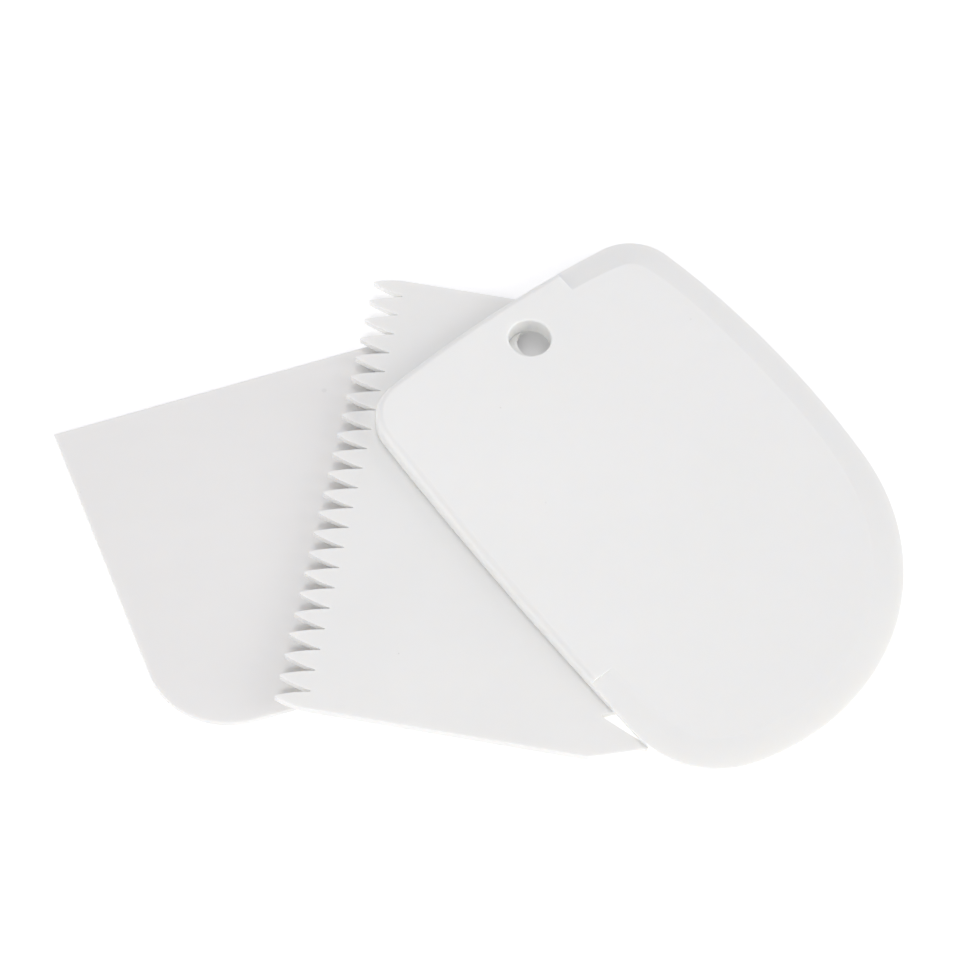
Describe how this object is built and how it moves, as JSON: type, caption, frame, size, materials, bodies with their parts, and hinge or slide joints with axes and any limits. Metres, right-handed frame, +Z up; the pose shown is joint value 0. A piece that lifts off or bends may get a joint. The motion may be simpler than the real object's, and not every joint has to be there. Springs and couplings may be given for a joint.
{
  "type": "bench scraper set",
  "caption": "Loose set of white plastic dough scrapers: a plain blade, a comb with fine and coarse teeth, and a D-shaped bowl scraper with a bevelled edge; with hanging holes.",
  "frame": {"origin": "bottom centre of the box round the three scrapers as they lie", "axes": "+Z up, +X along the fan from the plain scraper to the bowl scraper, +Y away from the comb's lower end"},
  "size_m": [0.2014, 0.1464, 0.0092],
  "materials": {
    "plain_scraper": "fine moulded satin, milky white",
    "comb_scraper": "fine moulded satin, milky white",
    "bowl_scraper": "fine moulded satin, milky white"
  },
  "bodies": {
    "plain": {"plain_scraper": "plain_scraper"},
    "comb": {"comb_scraper": "comb_scraper"},
    "bowl": {"bowl_scraper": "bowl_scraper"}
  },
  "joints": [
    {"name": "comb_lift", "type": "slide", "parent": "plain", "child": "comb", "axis": [0, 0, 1], "range_m": [0, 0.06]},
    {"name": "bowl_lift", "type": "slide", "parent": "comb", "child": "bowl", "axis": [0, 0, 1], "range_m": [0, 0.06]}
  ]
}
